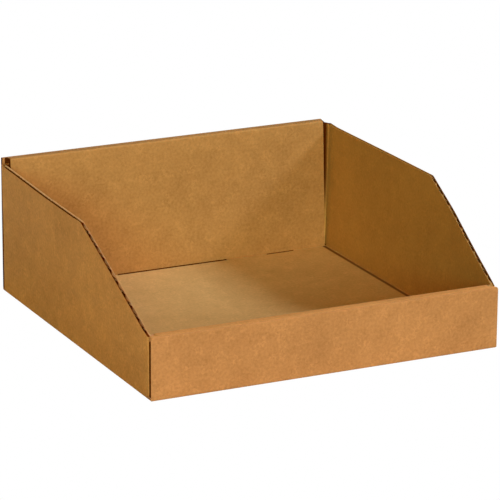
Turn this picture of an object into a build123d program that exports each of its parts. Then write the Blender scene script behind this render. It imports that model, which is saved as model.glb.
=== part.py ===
"""Open-top bin box, folded from one die-cut blank of corrugated board.

Millimetres. X runs across the bin, Y from the low front to the back and +Z up,
with the origin under the middle of the floor. The flutes run along Y in the
floor, so they stand upright in the front and back walls and lie level in the
side walls.
"""
import os
from math import atan2, cos, degrees, radians, sin

from build123d import *

# Outside of the folded bin
bin_width = 304.8
bin_depth = 304.8
rear_height = 117.0
front_height = 52.2
side_height = 111.7
side_front_height = 50.7
slope_run = 121.8
knee_radius = 6.0
side_lean = 3.2
corner_clip = 6.2

# Board and its folds
board = 3.0
fold_radius = 1.6
crease_radius = 0.3
layer_gap = 0.3

# Corrugation: a wavy medium between two liners leaves a row of hollows on each liner
liner = 0.4
medium = 0.35
flute_pitch = 6.3
flute_base = 5.2
flute_crown = 1.1
flute_reach = 12.0

# Rolled-over front and back walls
end_gap = 3.2
foot_gap = 0.8
tab_width = 38.0
tab_spacing = 142.0
tab_corner = 2.0
tab_lift = 0.2
slot_gap = 0.4

# Dust flaps that turn in from the side walls, between the layers of a rolled wall
flap_length = 92.0
flap_taper = 9.0
flap_foot_gap = 0.9

# How far a cut runs past the board
overrun = 5.0

# Worked out from the sizes above
half_width = bin_width / 2
half_depth = bin_depth / 2
fold_reach = board + crease_radius
roll_depth = 3 * board + 2 * layer_gap
inner_half_width = half_width - board - end_gap
strip_half_width = half_width - board - layer_gap
flap_relief_reach = half_width - board
inner_wall_face = half_depth - roll_depth
inner_wall_middle = inner_wall_face + board / 2
flap_face = half_depth - board - layer_gap
flap_middle = flap_face - board / 2
side_reach = flap_face - fold_reach
side_foot = half_width - board / 2
side_length = side_height + overrun
lean_run = sin(radians(side_lean))
lean_rise = cos(radians(side_lean))
knee_place = slope_run - half_depth
liner_face = board / 2 - liner
flute_height = board - 2 * liner - medium
flute_angle = degrees(atan2(flute_height, (flute_base - flute_crown) / 2))
flute_step = flute_pitch / 2
front = -1
back = 1


def folded_board(*middle):
    """Section of the board along a middle line that is folded at each of its inner points."""
    with BuildSketch() as section:
        with BuildLine():
            Polyline(*middle)
        trace(line_width=board)
        for before, fold, after in zip(middle, middle[1:], middle[2:]):
            corner = Vector(*fold)
            inward = (Vector(*before) - corner).normalized() + (Vector(*after) - corner).normalized()
            for reach, radius in ((board / 2, crease_radius), (-board / 2, fold_radius)):
                fillet(section.vertices().sort_by_distance(corner + inward * reach)[0], radius)
    return section.sketch


def wall_point(side, length):
    """Point in XZ on the middle of a leaning side wall, that far along it from the floor's middle."""
    return (side * (side_foot + length * lean_run), board / 2 + length * lean_rise)


def floor_section(length):
    """Section across the floor and both side walls, with side walls of that length."""
    return folded_board(*[wall_point(*place) for place in ((-1, length), (-1, 0), (1, 0), (1, length))])


def flute_hollow(turn):
    """Section of one flute's hollow: its wide base on a liner, its crown under the other."""
    Trapezoid(flute_base, flute_height, flute_angle, rotation=turn, align=(Align.CENTER, Align.MIN))


def side_flutes(side):
    """Hollows that open along the cut top edge of a side wall."""
    section = Plane(
        origin=(side * side_foot, 0, board / 2),
        x_dir=(-lean_rise, 0, side * lean_run),
        z_dir=(0, 1, 0),
    )
    top = (side_height - board / 2) / lean_rise
    rows = int((side_height - side_front_height) / flute_step)
    with BuildPart() as flutes:
        # Down the slope the rows open in turn on the inner and the outer liner
        with BuildSketch(section.offset(-flap_face)):
            for row in range(1, rows):
                liner_side = side if row % 2 else -side
                with Locations((liner_side * liner_face, top - row * flute_step)):
                    flute_hollow(liner_side * 90)
        extrude(amount=flap_face + knee_place + flute_reach)
        with BuildSketch(Plane.YZ):
            with BuildLine():
                Polyline(
                    (-flap_face - overrun, side_front_height),
                    (flute_reach - flap_face, side_front_height),
                    (flute_reach + knee_place, side_height),
                    (knee_place - overrun, side_height),
                    close=True,
                )
            make_face()
        extrude(amount=bin_width, both=True, mode=Mode.INTERSECT)

        # The level stretch is cut along the middle of one hollow
        with BuildSketch(section.offset(knee_place - flute_pitch)):
            with Locations((-side * liner_face, top)):
                flute_hollow(-side * 90)
        extrude(amount=side_reach - knee_place + flute_pitch)
    return flutes.part


def rolled_wall(height, facing, clip):
    """Front or back wall: outer layer, roll over the top and inner layer down to the floor."""
    outer = facing * (half_depth - board / 2)
    inner = facing * inner_wall_middle
    top = height - board / 2
    with BuildPart() as wall:
        with BuildSketch(Plane.YZ):
            add(
                folded_board(
                    (facing * side_reach, board / 2),
                    (outer, board / 2),
                    (outer, top),
                    (inner, top),
                    (inner, board + foot_gap),
                )
            )
        extrude(amount=half_width, both=True)

        # Outline from the front: rounded at the floor, with its top right corner clipped where asked
        with BuildSketch(Plane.XZ) as outline:
            Rectangle(bin_width, height, align=(Align.CENTER, Align.MIN))
            fillet(outline.vertices().group_by(Axis.Y)[0], fold_radius)
            if clip:
                chamfer(outline.vertices().group_by(Axis.Y)[-1].sort_by(Axis.X)[-1], clip)
        extrude(amount=bin_depth, both=True, mode=Mode.INTERSECT)

        # The strip on top narrows towards the inner layer, which stops short of the side walls
        with BuildSketch(Plane.XY.offset(board)):
            for end in (-1, 1):
                with BuildLine():
                    Polyline(
                        (end * inner_half_width, 0),
                        (end * inner_half_width, facing * (inner_wall_face + board)),
                        (end * strip_half_width, facing * (half_depth - board)),
                        (end * bin_width, facing * (half_depth - board)),
                        (end * bin_width, 0),
                        close=True,
                    )
                make_face()
        extrude(amount=height, mode=Mode.SUBTRACT)

        # Hollows laid open along the upright cut ends of both layers
        turn = 180 if facing > 0 else 0
        with BuildSketch(Plane.XY.offset(fold_reach)):
            for end in (-1, 1):
                with Locations((end * half_width, facing * (half_depth - liner))):
                    flute_hollow(turn)
                with Locations((end * inner_half_width, facing * (inner_wall_middle + liner_face))):
                    flute_hollow(turn)
        extrude(amount=height - 2 * fold_reach, mode=Mode.SUBTRACT)
    return wall.part


def flap_relief(height, side_top, facing):
    """Room above a pair of dust flaps: clear of the roll, and sloping down to their free ends."""
    top = min(side_top, height - board - layer_gap)
    flap_end = half_width - flap_length
    with BuildPart() as relief:
        with BuildSketch(Plane.XZ.offset(-facing * flap_middle)):
            with BuildLine():
                Polyline(
                    (-flap_relief_reach, top + overrun),
                    (-flap_relief_reach, top),
                    (-flap_end, top - flap_taper),
                    (flap_end, top - flap_taper),
                    (flap_relief_reach, top),
                    (flap_relief_reach, top + overrun),
                    close=True,
                )
            make_face()
        extrude(amount=board, both=True)
    return relief.part


front_wall = rolled_wall(front_height, front, 0)
back_wall = rolled_wall(rear_height, back, corner_clip)
front_relief = flap_relief(front_height, side_front_height, front)
back_relief = flap_relief(rear_height, side_height, back)

with BuildPart() as bin_box:
    # Floor and side walls, with the floor's own folds carried on to the front and back walls
    with BuildSketch(Plane.XZ):
        add(floor_section(side_length))
    extrude(amount=side_reach, both=True)
    with BuildSketch(Plane.XZ):
        add(floor_section(board / 2 + flap_foot_gap))
    extrude(amount=flap_face, both=True)

    # Dust flaps folded in from both ends of each side wall
    for side in (-1, 1):
        side_plane = Plane(
            origin=(side * side_foot, 0, board / 2),
            x_dir=(side * lean_rise, 0, -lean_run),
            z_dir=(side * lean_run, 0, lean_rise),
        )
        with BuildSketch(side_plane.offset(board / 2 + flap_foot_gap)):
            for end in (-1, 1):
                add(
                    folded_board(
                        (0, end * (side_reach - board)),
                        (0, end * flap_middle),
                        (-flap_length, end * flap_middle),
                    )
                )
        extrude(amount=side_length)

    # Outline of the side walls: level from the back to the knee, then down to the front
    with BuildSketch(Plane.YZ):
        with BuildLine():
            Polyline(
                (half_depth, side_height),
                (knee_place, side_height),
                (-flap_face, side_front_height),
                (-half_depth, side_front_height),
                (-half_depth, side_height + side_length),
                (half_depth, side_height + side_length),
                close=True,
            )
        make_face()
        fillet(vertices().sort_by_distance((knee_place, side_height))[0], knee_radius)
    extrude(amount=bin_width, both=True, mode=Mode.SUBTRACT)
    add(front_relief, mode=Mode.SUBTRACT)
    add(back_relief, mode=Mode.SUBTRACT)
    for side in (-1, 1):
        add(side_flutes(side), mode=Mode.SUBTRACT)

    # Rolled walls, closed round the dust flaps
    add(front_wall)
    add(back_wall)

    # Slots in the floor and the lock tabs of the inner layers that stand in them
    lock_places = [
        (end * tab_spacing / 2, facing * inner_wall_middle) for facing in (front, back) for end in (-1, 1)
    ]
    with BuildSketch(Plane.XY):
        with Locations(*lock_places):
            Rectangle(tab_width + 2 * slot_gap, board + 2 * slot_gap)
    extrude(amount=board, mode=Mode.SUBTRACT)
    for facing in (front, back):
        with BuildSketch(Plane.XZ.offset(-facing * inner_wall_middle)) as tabs:
            with Locations(*[(end * tab_spacing / 2, tab_lift) for end in (-1, 1)]):
                Rectangle(tab_width, board + foot_gap - tab_lift, align=(Align.CENTER, Align.MIN))
            chamfer(tabs.vertices().group_by(Axis.Y)[0], tab_corner)
        extrude(amount=board / 2, both=True)

bin_box.part.label = "bin_box"
os.makedirs("parts", exist_ok=True)
export_step(bin_box.part, "parts/bin_box.step")
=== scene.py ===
"""Looks of the open-top bin box: kraft corrugated board under plain studio light, seen as in the photo.

The scene is in metres. The constants and the functions on points of the board are in millimetres.
"""
from math import cos, radians, sin, tan

import bmesh
import bpy
import numpy as np
from mathutils import Matrix, Vector


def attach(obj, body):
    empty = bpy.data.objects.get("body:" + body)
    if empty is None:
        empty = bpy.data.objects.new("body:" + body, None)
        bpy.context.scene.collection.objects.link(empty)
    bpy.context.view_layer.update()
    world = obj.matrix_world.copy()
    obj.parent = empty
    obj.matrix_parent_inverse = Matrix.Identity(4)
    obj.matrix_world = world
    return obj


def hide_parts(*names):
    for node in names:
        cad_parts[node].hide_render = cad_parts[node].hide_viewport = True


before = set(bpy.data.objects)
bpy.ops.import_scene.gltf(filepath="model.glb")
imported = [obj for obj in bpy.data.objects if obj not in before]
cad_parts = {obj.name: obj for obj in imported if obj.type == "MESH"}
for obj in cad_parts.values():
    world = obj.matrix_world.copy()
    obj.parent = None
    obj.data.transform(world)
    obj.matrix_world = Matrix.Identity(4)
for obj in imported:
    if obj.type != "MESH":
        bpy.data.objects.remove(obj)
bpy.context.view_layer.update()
MM = 0.001

# View of the photo: angles in degrees, eye in metres
VIEW_AZIMUTH = -25.921
VIEW_ELEVATION = 17.393
VIEW_ROLL = 0.361
VIEW_EYE = Vector((-1136.4, -2349.0, 876.5)) * MM
VIEW_REACH = 20.0
SENSOR_WIDTH = 36.0
LENS = 240.08

# Light. Suns: way to the lamp, angle across it, strength
AMBIENT = (0.02, 0.015, 0.005)
SUNS = {
    "key": ((1.14, -0.45, 1.0), 12.5, (1.75, 1.95, 2.06)),
    "camera_fill": ((-0.42, -0.86, 0.30), 25.0, (0.72, 1.62, 1.45)),
    "camera_high": ((-0.42, -0.86, 0.42), 15.0, (1.0, 0.43, 0.0)),
    "front_fill": ((-0.1, -0.6, 1.0), 50.0, (0.47, 0.15, 0.0)),
    "rear_fill": ((0.1, 1.0, 0.06), 20.0, (1.0, 0.95, 0.85)),
}

# Panels: place and size in metres, strength, point that they face
PANELS = {
    "left_panel": ((-0.95, -0.75, 0.32), 0.6, (0.90, 0.30, 0.08), (-0.15, -0.05, 0.05)),
    "top_panel": ((0.05, 0.13, 0.34), 0.12, (0.01, 0.025, 0.025), (0.05, 0.10, 0.0)),
}

# Pale floor that the bin stands on
FLOOR_DROP = -0.2
FLOOR_SIZE = 6.0
FLOOR_GREY = 0.85

# Sizes of the part that the looks follow
BOARD = 3.0
LINER = 0.4
HALF_WIDTH = 152.4
HALF_DEPTH = 152.4
REAR_HEIGHT = 117.0
FRONT_HEIGHT = 52.2
SIDE_HEIGHT = 111.7
SIDE_FRONT_HEIGHT = 50.7
SIDE_LEAN = radians(3.2)
SIDE_REACH = 8.0
KNEE_PLACE = -30.6
INNER_WALL_FACE = 142.8
INNER_HALF_WIDTH = 146.2
FLAP_FACE = 149.1
FOOT_GAP = 0.8
TAB_ENDS = (51.6, 90.4)

# How far the side walls really lean, as shares of the part's lean at places along them
LEAN = {
    -1: ((-149.1, 0.1), (-140.0, 0.48), (-30.6, 1.0), (45.0, 0.82), (149.1, 0.2)),
    1: (
        (-149.1, -0.35),
        (-140.0, -0.06),
        (-130.0, 0.14),
        (-125.0, 0.21),
        (-103.0, 0.56),
        (-70.0, 1.02),
        (-30.6, 1.0),
        (45.0, 0.82),
        (149.1, 0.42),
    ),
}
LEAN_ACROSS = (100.0, 145.0)

# How the back's inner layer, the front's top and the rims really stand
BACK_SKEW = 1.5
CURL_FROM = 101.0
CURL_SLOPE = 0.09
FOOT_SETTLE = (0.35, 0.75)
FRONT_DROP = 0.5
CORNER_FROM = 148.5
CORNER_FALL = 0.25
REAR_RISE_FROM = 136.0
REAR_RISE = 1.0
FLAP_RISE = 2.6
FLAP_RISE_ACROSS = (HALF_WIDTH - 3.0, HALF_WIDTH + 3.0)
TORN = 0.5

# Where one paper ends and the next begins
OPEN_END = -150.2
FRONT_FOLD = -148.0
REAR_FOLD = 143.5
FOOT_SHADE = 141.1
FOOT_OPEN = 80.0
FOOT_END = 116.0
ROOM_FOOT = 0.3
SIDE_ZONE = 6.0
END_ZONE = 8.0
RIM_DEPTH = 1.2

# How near to a plane a point counts as on it, and how far a normal points a way to count as facing it
NEAR = 0.1
SKIN = 0.06
LEVEL = 0.92
SQUARELY = 0.9
MOSTLY = 0.7
SIDEWAYS = 0.35
PARTLY = 0.3
HARDLY = 0.2

# Mesh: steps of the cuts that let it bend, and distances and angles for cleaning it
GRID = 8.0
WELD = 0.002
CUT = 0.01
SLIVER = 0.02
PLANAR = radians(0.3)
SHARP = radians(35)
FLAT = 0.99

# Where the layers and tops of the rolled walls lie on the unfolded sheet
SHEET_LAYER = 400.0
SHEET_TOP = 300.0

# Papers: name, mean colour, how far the flecks go to either side of it, gloss and roughness. All panels are
# one kraft; their mean colours are set partly for the light each gets, the outer side, floor and front's top
# strip paler and the inner side deeper, as painted light and shade
FRONT, SIDE_OUT, BACK_IN, FLOOR, SIDE_IN, SHADED_END, DEEP_SHADE, FLAP, TOP = range(9)
PAPERS = {
    FRONT: ("kraft_front", (0.490, 0.213, 0.076), 0.18, 0.2, 0.75),
    SIDE_OUT: ("kraft_side", (0.608, 0.282, 0.078), 0.18, 0.2, 0.75),
    BACK_IN: ("kraft_back", (0.470, 0.226, 0.073), 0.18, 0.2, 0.75),
    FLOOR: ("kraft_floor", (0.610, 0.392, 0.170), 0.16, 0.5, 0.45),
    SIDE_IN: ("kraft_inside", (0.470, 0.216, 0.041), 0.14, 0.2, 0.75),
    # Cut ends and open flutes at the ends of the front and back walls: near black, painted shade of the
    # hollows
    SHADED_END: ("cut_end_painted_shade", (0.09, 0.018, 0.001), 0.3, 0.0, 1.0),
    # Faces inside the rolls, in the gaps, at the rear right top and at the foot of the back's inner layer:
    # near black, painted shade
    DEEP_SHADE: ("deep", (0.10, 0.025, 0.003), 0.3, 0.0, 1.0),
    # Dust flap: paper paler than the board as painted light at its foot, darkened up the gap by painted shade
    FLAP: ("kraft_flap_painted_shade", (0.720, 0.400, 0.120), 0.14, 0.0, 1.0),
    TOP: ("kraft_fold", (0.705, 0.333, 0.110), 0.16, 0.2, 0.75),
}
FLECK_STOPS = (0.3, 0.7)
FLECK_SHARES = (1.0, 1.1, 1.3)
BUMP_STRENGTH = 0.25
PAPER_BUMP = 0.0002

# Layers of a paper's tone: features per metre, detail, weight
TONE_LAYERS = ((14.0, 2.0, 0.30), (70.0, 2.0, 0.22), (420.0, 1.0, 0.33), (1100.0, 1.0, 0.15))

# Pale and dark fibres: features per metre, offset, weight
FIBRES = ((210.0, 5.0, 0.15), (190.0, 9.0, -0.09))
FIBRE_DETAIL = 2.0
FIBRE_WIDTH = 0.11
PATCH_SCALE = 0.4
PATCH_OFFSET = 3.0
PATCH_BAND = (0.52, 0.66)

# Cut rims of the side walls: name, reach of the inner liner, tones of inner liner, flutes and outer liner.
# The near-black flutes are painted shade in the open flutes, and the pale inner liner is partly a painted
# highlight
CUT_SLOPE, FLUTE_SLOPE, CUT_LEVEL, FLUTE_LEVEL, CUT_RIGHT, FLUTE_RIGHT = range(9, 15)
RIMS = {
    CUT_SLOPE: ("rim_slope", 0.24, (0.60, 0.30, 0.15), (0.14, 0.025, 0.002), (0.30, 0.10, 0.03)),
    FLUTE_SLOPE: ("flute_slope", 0.22, (0.60, 0.30, 0.15), (0.060, 0.008, 0.001), (0.30, 0.10, 0.03)),
    CUT_LEVEL: ("rim_level", 0.40, (0.82, 0.50, 0.25), (0.16, 0.030, 0.002), (0.14, 0.025, 0.002)),
    FLUTE_LEVEL: ("flute_level", 0.28, (0.82, 0.50, 0.25), (0.13, 0.022, 0.001), (0.14, 0.025, 0.002)),
    CUT_RIGHT: ("rim_right", 0.50, (0.42, 0.22, 0.08), (0.20, 0.08, 0.02), (0.24, 0.10, 0.03)),
    FLUTE_RIGHT: ("flute_right", 0.46, (0.42, 0.22, 0.08), (0.10, 0.03, 0.005), (0.24, 0.10, 0.03)),
}
RIM_STEP = 0.08
RIM_OUTER_FROM = 0.90
RIM_WANDER = 0.22
RIM_GRAIN = 320.0
RIM_STRETCH = (1.0, 0.001)
RIM_BUMP = 0.0003

# Painted light and shade on the floor: paler at the back and browner towards the front, browner by the side
# walls, and a painted shade line on the score lines
FLOOR_ALONG = (135.0, -130.0)
FLOOR_FRONT_SHADE = (0.87, 0.80, 0.68)
WALL_FOOT_ACROSS = (145.9, 147.5)
WALL_FOOT_SHADE = (0.72, 0.66, 0.50)
SCORE_ACROSS = ((144.6, 145.9), (148.6, 147.4))
SCORE_SHADE = (0.26, 0.12, 0.004)

# Painted shade on the dust flap in the gap at the back's right end: darker higher up, darkest deep in the gap
FLAP_UP = (10.0, 70.0)
FLAP_UPPER_SHADE = (0.64, 0.54, 0.42)
CREVICE_ACROSS = (152.6, 148.5)
CREVICE_SHADE = (0.17, 0.065, 0.004)


def place_camera():
    """Camera at the photo's eye point, turned by azimuth and elevation and then rolled."""
    azimuth = radians(VIEW_AZIMUTH)
    elevation = radians(VIEW_ELEVATION)
    away = Vector((sin(azimuth) * cos(elevation), -cos(azimuth) * cos(elevation), sin(elevation)))
    turn = away.to_track_quat("Z", "Y").to_matrix() @ Matrix.Rotation(radians(VIEW_ROLL), 3, "Z")
    camera = bpy.data.objects.new("camera", bpy.data.cameras.new("camera"))
    camera.matrix_world = Matrix.Translation(VIEW_EYE) @ turn.to_4x4()
    camera.data.sensor_width = SENSOR_WIDTH
    camera.data.lens = LENS
    camera.data.clip_end = VIEW_REACH
    bpy.context.scene.collection.objects.link(camera)
    bpy.context.scene.camera = camera


def seen_directly(tree):
    """Factor that is 1 for the rays that show the background in the picture."""
    return tree.nodes.new("ShaderNodeLightPath").outputs["Is Camera Ray"]


def add_lamp(name, kind, strength, way):
    """Lamp of that kind, turned to shine from that way."""
    lamp = bpy.data.objects.new(name, bpy.data.lights.new(name, kind))
    lamp.data.energy = 1.0
    lamp.data.color = strength
    lamp.rotation_euler = way.to_track_quat("Z", "Y").to_euler()
    bpy.context.scene.collection.objects.link(lamp)
    return lamp


def light_studio():
    """White surroundings, a key from the right, fills in front, a low one behind and two small panels."""
    world = bpy.data.worlds.new("studio")
    bpy.context.scene.world = world
    world.use_nodes = True
    tree = world.node_tree
    ambient = tree.nodes["Background"]
    ambient.inputs["Strength"].default_value = 1.0
    ambient.inputs["Color"].default_value = (*AMBIENT, 1)
    white = tree.nodes.new("ShaderNodeBackground")
    white.inputs["Strength"].default_value = 1.0
    white.inputs["Color"].default_value = (1, 1, 1, 1)
    mix = tree.nodes.new("ShaderNodeMixShader")
    tree.links.new(seen_directly(tree), mix.inputs["Fac"])
    tree.links.new(ambient.outputs[0], mix.inputs[1])
    tree.links.new(white.outputs[0], mix.inputs[2])
    tree.links.new(mix.outputs[0], tree.nodes["World Output"].inputs["Surface"])
    for name, (way, angle, strength) in SUNS.items():
        sun = add_lamp(name, "SUN", strength, Vector(way))
        sun.data.angle = radians(angle)
    for name, (place, size, strength, aim) in PANELS.items():
        panel = add_lamp(name, "AREA", strength, Vector(place) - Vector(aim))
        panel.data.size = size
        panel.location = place


def lay_floor():
    """Pale floor that shows as white and still throws some light up at the board."""
    bm = bmesh.new()
    bmesh.ops.create_grid(bm, x_segments=1, y_segments=1, size=FLOOR_SIZE)
    mesh = bpy.data.meshes.new("floor")
    bm.to_mesh(mesh)
    bm.free()
    floor = bpy.data.objects.new("floor", mesh)
    floor.location.z = FLOOR_DROP * MM
    bpy.context.scene.collection.objects.link(floor)
    material = bpy.data.materials.new("pale_floor")
    material.use_nodes = True
    tree = material.node_tree
    tree.nodes.remove(tree.nodes["Principled BSDF"])
    diffuse = tree.nodes.new("ShaderNodeBsdfDiffuse")
    diffuse.inputs["Color"].default_value = (FLOOR_GREY, FLOOR_GREY, FLOOR_GREY, 1)
    glow = tree.nodes.new("ShaderNodeEmission")
    glow.inputs["Strength"].default_value = 1.0
    mix = tree.nodes.new("ShaderNodeMixShader")
    tree.links.new(seen_directly(tree), mix.inputs["Fac"])
    tree.links.new(diffuse.outputs[0], mix.inputs[1])
    tree.links.new(glow.outputs[0], mix.inputs[2])
    tree.links.new(mix.outputs[0], tree.nodes["Material Output"].inputs["Surface"])
    mesh.materials.append(material)


def calc(tree, operation, *values):
    """Math node on values that are outputs of other nodes or plain numbers."""
    step = tree.nodes.new("ShaderNodeMath")
    step.operation = operation
    for socket, value in zip(step.inputs, values):
        if isinstance(value, float):
            socket.default_value = value
        else:
            tree.links.new(value, socket)
    return step.outputs[0]


def between(tree, value, start, end):
    """0 at the start and 1 at the end, smooth between."""
    step = tree.nodes.new("ShaderNodeMapRange")
    step.interpolation_type = "SMOOTHSTEP"
    step.inputs["From Min"].default_value = start
    step.inputs["From Max"].default_value = end
    tree.links.new(value, step.inputs["Value"])
    return step.outputs[0]


def noise(tree, place, scale, detail, stretch=(1.0, 1.0), offset=0.0):
    """Noise over the unfolded sheet, with features of about 1/scale metres."""
    mapping = tree.nodes.new("ShaderNodeMapping")
    mapping.inputs["Scale"].default_value = (*stretch, 1.0)
    mapping.inputs["Location"].default_value = (offset, offset, 0.0)
    tree.links.new(place, mapping.inputs["Vector"])
    texture = tree.nodes.new("ShaderNodeTexNoise")
    texture.noise_dimensions = "2D"
    texture.inputs["Scale"].default_value = scale
    texture.inputs["Detail"].default_value = detail
    tree.links.new(mapping.outputs[0], texture.inputs["Vector"])
    return texture.outputs["Fac"]


def fibres(tree, place, scale, offset):
    """Short curved fibres in patches: thin level lines of one noise, where a broader one is high."""
    line = noise(tree, place, scale, FIBRE_DETAIL, offset=offset)
    away = calc(tree, "ABSOLUTE", calc(tree, "SUBTRACT", line, 0.5))
    thin = between(tree, away, FIBRE_WIDTH, 0.0)
    cover = noise(tree, place, scale * PATCH_SCALE, FIBRE_DETAIL, offset=offset + PATCH_OFFSET)
    return calc(tree, "MULTIPLY", thin, between(tree, cover, *PATCH_BAND))


def paper_tone(tree, place):
    """Broad clouds, small flecks of pulp, fine speckle and fibres, added up."""
    parts = [(noise(tree, place, scale, detail), weight) for scale, detail, weight in TONE_LAYERS]
    parts += [(fibres(tree, place, scale, offset), weight) for scale, offset, weight in FIBRES]
    tone = 0.0
    for factor, weight in parts:
        tone = calc(tree, "MULTIPLY_ADD", factor, weight, tone)
    return tone


def towards_front(tree, across, along):
    """Painted shade over the floor's paper, growing to the front: 0 at the back, 1 at the front."""
    return between(tree, along, *FLOOR_ALONG)


def wall_foot(tree, across, along):
    """1 on the strip of floor next to the side walls, which the crease turns up, where it gets the painted
    shade of the wall's foot.
    """
    return between(tree, across, *WALL_FOOT_ACROSS)


def score_line(tree, across, along):
    """1 along the score lines where the floor turns up into the side walls, where painted shade lies in the
    crease, 0 elsewhere.
    """
    return calc(tree, "MINIMUM", *[between(tree, across, *band) for band in SCORE_ACROSS])


def above_foot(tree, across, along):
    """Where the flap's painted shade grows: 1 high up in the gap beside the back's inner layer, 0 near the
    floor.
    """
    return between(tree, along, *[HALF_DEPTH + SHEET_LAYER + height for height in FLAP_UP])


def crevice(tree, across, along):
    """Where the flap's painted shade is darkest: 1 deep in the gap beside the back's inner layer, 0 by the
    side wall and near the floor.
    """
    inner = between(tree, across, *CREVICE_ACROSS)
    return calc(tree, "MULTIPLY", inner, above_foot(tree, across, along))


# Painted shade laid over a paper, in this order: where, and by how much
PAINTED_SHADES = {
    FLOOR: ((towards_front, FLOOR_FRONT_SHADE), (wall_foot, WALL_FOOT_SHADE), (score_line, SCORE_SHADE)),
    FLAP: ((above_foot, FLAP_UPPER_SHADE), (crevice, CREVICE_SHADE)),
}


def painted_shade(tree, colour, place, where, shade):
    """The colour, multiplied by the painted shade where the factor is 1."""
    parts = tree.nodes.new("ShaderNodeSeparateXYZ")
    tree.links.new(place, parts.inputs[0])
    across = calc(tree, "MULTIPLY", calc(tree, "ABSOLUTE", parts.outputs["X"]), 1 / MM)
    along = calc(tree, "MULTIPLY", parts.outputs["Y"], 1 / MM)
    mix = tree.nodes.new("ShaderNodeMix")
    mix.data_type = "RGBA"
    mix.blend_type = "MULTIPLY"
    tree.links.new(where(tree, across, along), mix.inputs["Factor"])
    tree.links.new(colour, mix.inputs["A"])
    mix.inputs["B"].default_value = (*shade, 1)
    return mix.outputs["Result"]


def start_material(name, layout):
    """New material, with its nodes, its shader and its place on that layout."""
    material = bpy.data.materials.new(name)
    material.use_nodes = True
    tree = material.node_tree
    sheet = tree.nodes.new("ShaderNodeUVMap")
    sheet.uv_map = layout
    return material, tree, tree.nodes["Principled BSDF"], sheet.outputs["UV"]


def colour_ramp(tree, factor, stops):
    """Colours at positions along the factor."""
    ramp = tree.nodes.new("ShaderNodeValToRGB")
    elements = ramp.color_ramp.elements
    while len(elements) < len(stops):
        elements.new(0.5)
    for element, (position, colour) in zip(elements, stops):
        element.position = position
        element.color = (*colour, 1)
    tree.links.new(factor, ramp.inputs["Fac"])
    return ramp.outputs["Color"]


def finish_shader(tree, shader, colour, height, distance, gloss, rough):
    """Colour, fine relief, gloss and roughness of a board's surface."""
    bump = tree.nodes.new("ShaderNodeBump")
    bump.inputs["Strength"].default_value = BUMP_STRENGTH
    bump.inputs["Distance"].default_value = distance
    tree.links.new(height, bump.inputs["Height"])
    tree.links.new(bump.outputs["Normal"], shader.inputs["Normal"])
    tree.links.new(colour, shader.inputs["Base Color"])
    shader.inputs["Roughness"].default_value = rough
    shader.inputs["Specular IOR Level"].default_value = gloss


def paper(role):
    """Kraft paper with its clouds, flecks and fibres, and the painted shade of its panel."""
    name, mean, spread, gloss, rough = PAPERS[role]
    material, tree, shader, place = start_material(name, "sheet")
    tone = paper_tone(tree, place)
    stops = []
    for position, way in zip(FLECK_STOPS, (-1, 1)):
        flecks = [value * (1 + way * spread * share) for value, share in zip(mean, FLECK_SHARES)]
        stops.append((position, flecks))
    colour = colour_ramp(tree, tone, stops)
    for where, shade in PAINTED_SHADES.get(role, ()):
        colour = painted_shade(tree, colour, place, where, shade)
    finish_shader(tree, shader, colour, tone, PAPER_BUMP, gloss, rough)
    return material


def rim_paper(role):
    """Cut edge of the board: pale inner liner, partly a painted highlight, flutes darkened by painted shade
    and the thin outer liner, all a little ragged.
    """
    name, pale_to, pale, dark, outer = RIMS[role]
    material, tree, shader, place = start_material(name, "rim")
    parts = tree.nodes.new("ShaderNodeSeparateXYZ")
    tree.links.new(place, parts.inputs[0])
    ragged = noise(tree, place, RIM_GRAIN, 2.0, RIM_STRETCH)
    across = calc(tree, "MULTIPLY_ADD", ragged, RIM_WANDER, parts.outputs["Y"])
    outer_from = RIM_OUTER_FROM + RIM_STEP
    tones = ((pale_to, pale), (pale_to + RIM_STEP, dark), (RIM_OUTER_FROM, dark), (outer_from, outer))
    reach = 1 + RIM_WANDER
    stops = [((position + RIM_WANDER / 2) / reach, colour) for position, colour in tones]
    colour = colour_ramp(tree, calc(tree, "MULTIPLY", across, 1 / reach), stops)
    finish_shader(tree, shader, colour, ragged, RIM_BUMP, 0.0, 1.0)
    return material


def side_offset(point):
    """Distance from the middle of the leaning side wall, outwards positive."""
    across = abs(point.x) - (HALF_WIDTH - BOARD / 2)
    return across * cos(SIDE_LEAN) - (point.z - BOARD / 2) * sin(SIDE_LEAN)


def in_flute_end(middle):
    """Whether a place is in an open flute at an upright cut end of the front or back wall."""
    top = FRONT_HEIGHT if middle.y < 0 else REAR_HEIGHT
    if not BOARD < middle.z < top - BOARD:
        return False
    for near, end in ((INNER_WALL_FACE, INNER_HALF_WIDTH), (HALF_DEPTH - BOARD, HALF_WIDTH)):
        in_board = near + LINER / 2 < abs(middle.y) < near + BOARD - LINER / 2
        if in_board and end - BOARD < abs(middle.x) < end - NEAR:
            return True
    return False


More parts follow.
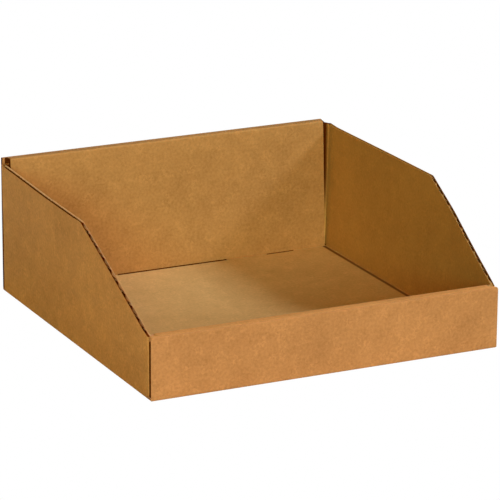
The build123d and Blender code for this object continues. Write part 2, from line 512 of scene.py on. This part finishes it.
def side_role(middle, normal, corners):
    """Which paper a face of a side wall shows: its two liners, its cut rim and the open flutes in that."""
    right = middle.x > 0
    level = middle.y > KNEE_PLACE
    outwards = Vector((cos(SIDE_LEAN) * (1 if right else -1), 0, -sin(SIDE_LEAN)))
    facing = normal.dot(outwards)
    if abs(side_offset(middle)) > BOARD / 2 - SKIN and abs(facing) > SQUARELY:
        return SIDE_OUT if facing > 0 else SIDE_IN
    if middle.y < FRONT_FOLD:
        return SIDE_OUT
    # The right wall's top over its rear fold gets painted shade
    if middle.y > REAR_FOLD and normal.z > PARTLY:
        return DEEP_SHADE if right else SIDE_OUT
    slope = (middle.y + FLAP_FACE) / (KNEE_PLACE + FLAP_FACE)
    rim = min(SIDE_HEIGHT, SIDE_FRONT_HEIGHT + (SIDE_HEIGHT - SIDE_FRONT_HEIGHT) * max(slope, 0))
    if abs(facing) < HARDLY and normal.z > PARTLY and middle.z > rim - RIM_DEPTH:
        if right:
            return SIDE_IN if level else CUT_RIGHT
        return CUT_LEVEL if level else CUT_SLOPE
    if max(abs(side_offset(corner)) for corner in corners) < BOARD / 2 - LINER + SKIN:
        if right:
            return SIDE_IN if level else FLUTE_RIGHT
        return FLUTE_LEVEL if level else FLUTE_SLOPE
    return SIDE_OUT


def role_of(face):
    """Which paper a face of the part shows, from its place and its normal."""
    middle = face.calc_center_median() / MM
    normal = face.normal
    reach = abs(middle.y)
    across = abs(middle.x)
    if in_flute_end(middle):
        return SHADED_END

    # Room inside the rolled walls, with the dust flaps; faces deep in it get painted shade
    if INNER_WALL_FACE + BOARD - NEAR < reach < FLAP_FACE + LINER and middle.z > BOARD + ROOM_FOOT:
        on_flap = middle.y > 0 and reach < FLAP_FACE - BOARD + 2 * NEAR and middle.x > INNER_HALF_WIDTH
        if normal.y < -MOSTLY and on_flap:
            return FLAP
        if abs(normal.y) > MOSTLY:
            return FRONT if middle.x < OPEN_END and reach > FLAP_FACE else DEEP_SHADE
        if normal.z < -MOSTLY:
            return DEEP_SHADE

    # Side walls, then the cut ends of the front and back walls, in the painted shade of their open flutes
    in_side = across > HALF_WIDTH - SIDE_ZONE and reach < FLAP_FACE
    if in_side and BOARD + 1.0 < middle.z < SIDE_HEIGHT + 1.0:
        return side_role(middle, normal, [vert.co / MM for vert in face.verts])
    if abs(normal.x) > SIDEWAYS and across > HALF_WIDTH - END_ZONE and reach > INNER_WALL_FACE - NEAR:
        corner = middle.y < 0 and middle.z > FRONT_HEIGHT - BOARD or middle.z < BOARD
        return FRONT if corner else SHADED_END

    # Floor, with a painted shadow line at the foot of the front and back walls and under that foot
    if abs(middle.z - BOARD) < NEAR and normal.z > SQUARELY and reach < FLAP_FACE:
        tab = TAB_ENDS[0] < across < TAB_ENDS[1]
        return DEEP_SHADE if reach > FOOT_SHADE and not tab and middle.x < FOOT_END else FLOOR
    if normal.z < -MOSTLY and BOARD < middle.z < BOARD + 1.0:
        return DEEP_SHADE if middle.x < FOOT_OPEN else BACK_IN

    # Large faces
    if across > HALF_WIDTH - 1.0 and reach < FLAP_FACE:
        return SIDE_OUT
    if middle.y > 0 and reach < HALF_DEPTH - NEAR and middle.z > BOARD:
        return BACK_IN
    if middle.y < 0 and normal.z > LEVEL and middle.z > FRONT_HEIGHT - BOARD:
        return TOP
    return FRONT


def bow_inner_layer(point):
    """The back's inner layer: skewed, curled back at its top and unevenly settled at its foot."""
    skew = BACK_SKEW * (1 - 2 * (point.z - BOARD) / (REAR_HEIGHT - BOARD))
    rise = max(point.z - CURL_FROM, 0.0)
    curl = CURL_SLOPE * rise * rise / (2 * (REAR_HEIGHT - CURL_FROM))
    foot = abs(point.z - BOARD - FOOT_GAP) < NEAR
    settle = FOOT_SETTLE[0 if point.x < FOOT_OPEN else 1] if foot else 0.0
    return Vector((point.x + skew, point.y + curl, point.z - settle))


def bow_front_top(point):
    """The front's top: a little lower towards its right end, and lower still at that corner."""
    drop = FRONT_DROP * (0.5 + point.x / (2 * HALF_WIDTH))
    drop += CORNER_FALL * max(point.x - CORNER_FROM, 0.0)
    return Vector((point.x, point.y, point.z - drop))


def bow_side(point, flap):
    """A side wall or its dust flap: leaning as it really does, with its rear right end and rim uneven."""
    side = 1 if point.x > 0 else -1
    share = np.interp(point.y, *zip(*LEAN[side]))
    keep = np.interp(abs(point.x), LEAN_ACROSS, (0.0, 1.0))
    shift = (share - 1.0) * (point.z - BOARD) * tan(SIDE_LEAN) * keep
    rise = 0.0
    if point.x > INNER_HALF_WIDTH and point.y > REAR_RISE_FROM and point.z > SIDE_HEIGHT - 1.0:
        rise = REAR_RISE * (point.y - REAR_RISE_FROM) / (FLAP_FACE - REAR_RISE_FROM)
        if flap:
            rise += FLAP_RISE * np.interp(point.x, FLAP_RISE_ACROSS, (1.0, 0.0))
    level = point.x < 0 and KNEE_PLACE + GRID < point.y < REAR_FOLD and point.z > SIDE_HEIGHT - NEAR
    if level and side_offset(point) > BOARD / 2 - LINER - SKIN:
        rise -= TORN
    return Vector((point.x + side * shift, point.y, point.z + rise))


def bow(point):
    """Place of a point of the board once the walls stand as in the photo."""
    in_inner_layer = INNER_WALL_FACE - NEAR < point.y < INNER_WALL_FACE + BOARD + NEAR
    if in_inner_layer and abs(point.x) < INNER_HALF_WIDTH + LINER:
        return bow_inner_layer(point)
    wall = abs(point.x) > HALF_WIDTH - BOARD - 2 * NEAR and abs(point.y) < FLAP_FACE + NEAR
    if point.y < NEAR - INNER_WALL_FACE and point.z > SIDE_FRONT_HEIGHT - BOARD and not wall:
        return bow_front_top(point)
    under_roll = point.z < REAR_HEIGHT - BOARD - NEAR
    flap = under_roll and INNER_WALL_FACE + BOARD + NEAR < abs(point.y) < FLAP_FACE + NEAR
    if point.z < BOARD or not (wall or flap):
        return point
    return bow_side(point, flap)


def sheet_place(point, normal):
    """Place on the unfolded sheet in metres: across the flutes, along the flutes."""
    side = 1 if point.x > 0 else -1
    end = 1 if point.y > 0 else -1
    if abs(normal.x) > max(abs(normal.y), abs(normal.z)):
        return (side * (HALF_WIDTH + point.z) * MM, point.y * MM)
    if abs(normal.y) > abs(normal.z):
        layer = 0.0 if abs(point.y) > FLAP_FACE else SHEET_LAYER
        return (point.x * MM, end * (HALF_DEPTH + point.z + layer) * MM)
    return (point.x * MM, (point.y + (end * SHEET_TOP if point.z > BOARD + 1.0 else 0.0)) * MM)


def rim_place(point):
    """Place on a side wall's cut rim: metres along it, and the share of the board from its inner face."""
    return (point.y * MM, side_offset(point) / BOARD + 0.5)


def cut_for_bending(bm):
    """Cut the board into a grid that can bend, and along the ends of its papers."""
    tab_ends = [side * end for side in (-1, 1) for end in TAB_ENDS]
    reach = HALF_WIDTH + SIDE_REACH
    places = {
        0: [*np.arange(-reach, reach, GRID), OPEN_END, FOOT_END, *tab_ends],
        1: [*np.arange(-HALF_DEPTH, HALF_DEPTH, GRID), -FOOT_SHADE, FOOT_SHADE],
        2: [*np.arange(GRID, REAR_HEIGHT, GRID)],
    }
    for axis, cuts in places.items():
        way = Vector((0, 0, 0))
        way[axis] = 1.0
        for place in cuts:
            everything = bm.verts[:] + bm.edges[:] + bm.faces[:]
            middle = way * float(place) * MM
            bmesh.ops.bisect_plane(bm, geom=everything, dist=CUT * MM, plane_co=middle, plane_no=way)
    bmesh.ops.triangulate(bm, faces=[face for face in bm.faces if len(face.verts) > 4])
    bmesh.ops.dissolve_degenerate(bm, edges=bm.edges[:], dist=SLIVER * MM)
    bm.normal_update()


def set_papers(bm):
    """Give each face the paper that it shows."""
    for face in bm.faces:
        face.material_index = role_of(face)


def shape_board(node):
    """Mesh of the board as it stands, with its papers told apart and laid out on the unfolded sheet."""
    bm = bmesh.new()
    bm.from_mesh(node.data)
    bm.transform(node.matrix_world)
    bmesh.ops.remove_doubles(bm, verts=bm.verts, dist=WELD * MM)
    bm.normal_update()
    set_papers(bm)
    bmesh.ops.dissolve_limit(
        bm, angle_limit=PLANAR, verts=bm.verts[:], edges=bm.edges[:], delimit={"MATERIAL"}
    )
    cut_for_bending(bm)
    set_papers(bm)
    sheet = bm.loops.layers.uv.new("sheet")
    rim = bm.loops.layers.uv.new("rim")
    for face in bm.faces:
        face.smooth = True
        for loop in face.loops:
            loop[rim].uv = rim_place(loop.vert.co / MM)
    for vert in bm.verts:
        vert.co = bow(vert.co / MM) * MM
    for face in bm.faces:
        for loop in face.loops:
            loop[sheet].uv = sheet_place(loop.vert.co / MM, face.normal)
    mesh = bpy.data.meshes.new("bin_board")
    bm.to_mesh(mesh)
    bm.free()
    return mesh


def make_board(node):
    """The board in place of the part's own solid, flat on its large side faces and smooth at its folds."""
    mesh = shape_board(node)
    mesh.set_sharp_from_angle(angle=SHARP)
    for face in mesh.polygons:
        face.use_smooth = face.material_index not in (SIDE_IN, SIDE_OUT) or abs(face.normal.x) < FLAT
    for role in PAPERS:
        mesh.materials.append(paper(role))
    for role in RIMS:
        mesh.materials.append(rim_paper(role))
    board = bpy.data.objects.new("bin_board", mesh)
    bpy.context.scene.collection.objects.link(board)
    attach(board, "root")
    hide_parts("bin_box")


place_camera()
light_studio()
lay_floor()
make_board(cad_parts["bin_box"])

bpy.context.scene.view_settings.view_transform = "Standard"
